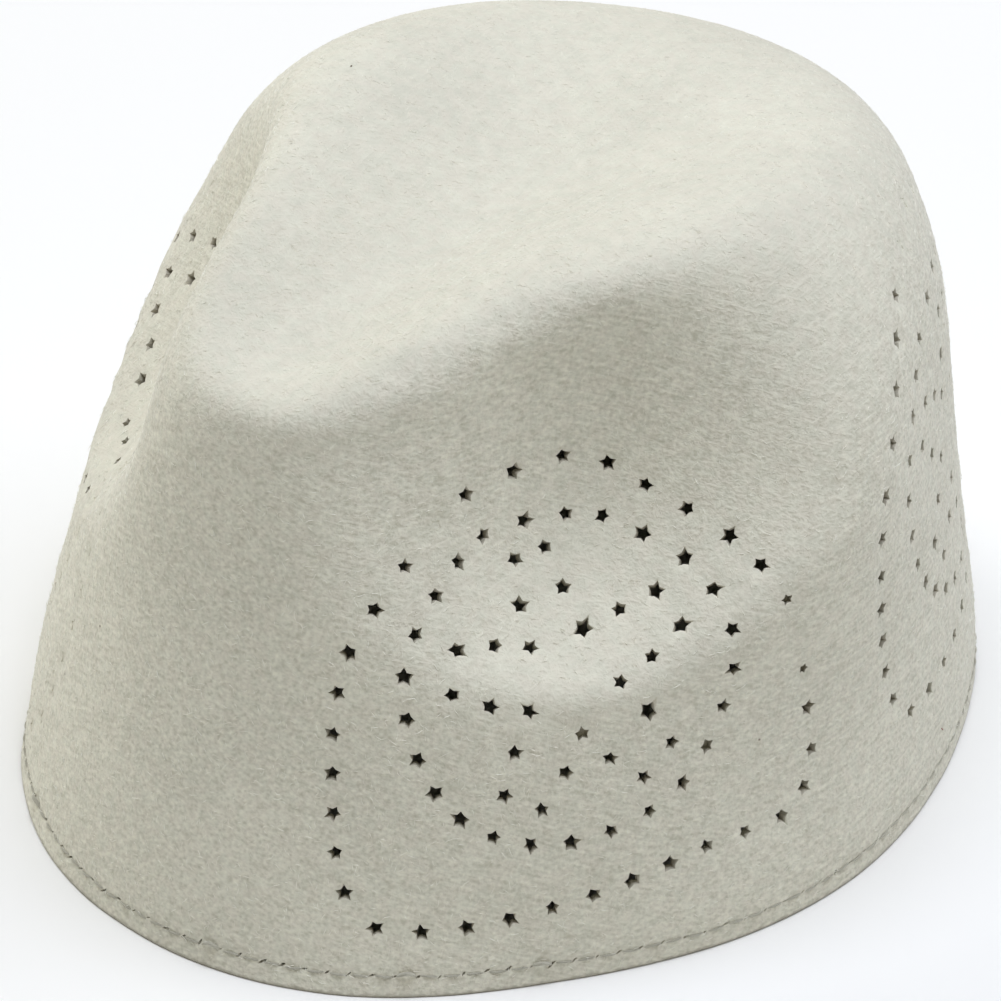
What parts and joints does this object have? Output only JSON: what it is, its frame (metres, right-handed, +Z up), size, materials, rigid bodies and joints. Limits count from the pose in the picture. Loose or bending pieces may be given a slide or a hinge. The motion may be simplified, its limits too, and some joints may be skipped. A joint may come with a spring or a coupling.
{
  "type": "felt kufi cap",
  "caption": "Brimless off-white felt cap with an oval rim, deep pinches at the front sides, a creased hollow top and medallions of small star-shaped holes.",
  "frame": {"origin": "centre of the rim oval, on the plane that the rim's flat edge stands on", "axes": "+Z up towards the top of the cap, -Y towards the front, where the two pinches are, +X towards the wearer's left side"},
  "size_m": [0.167, 0.2, 0.1239],
  "materials": {
    "felt": "soft matt wool felt, off-white, with fine short fibres"
  },
  "bodies": {
    "root": {"felt_crown": "felt"}
  },
  "joints": []
}
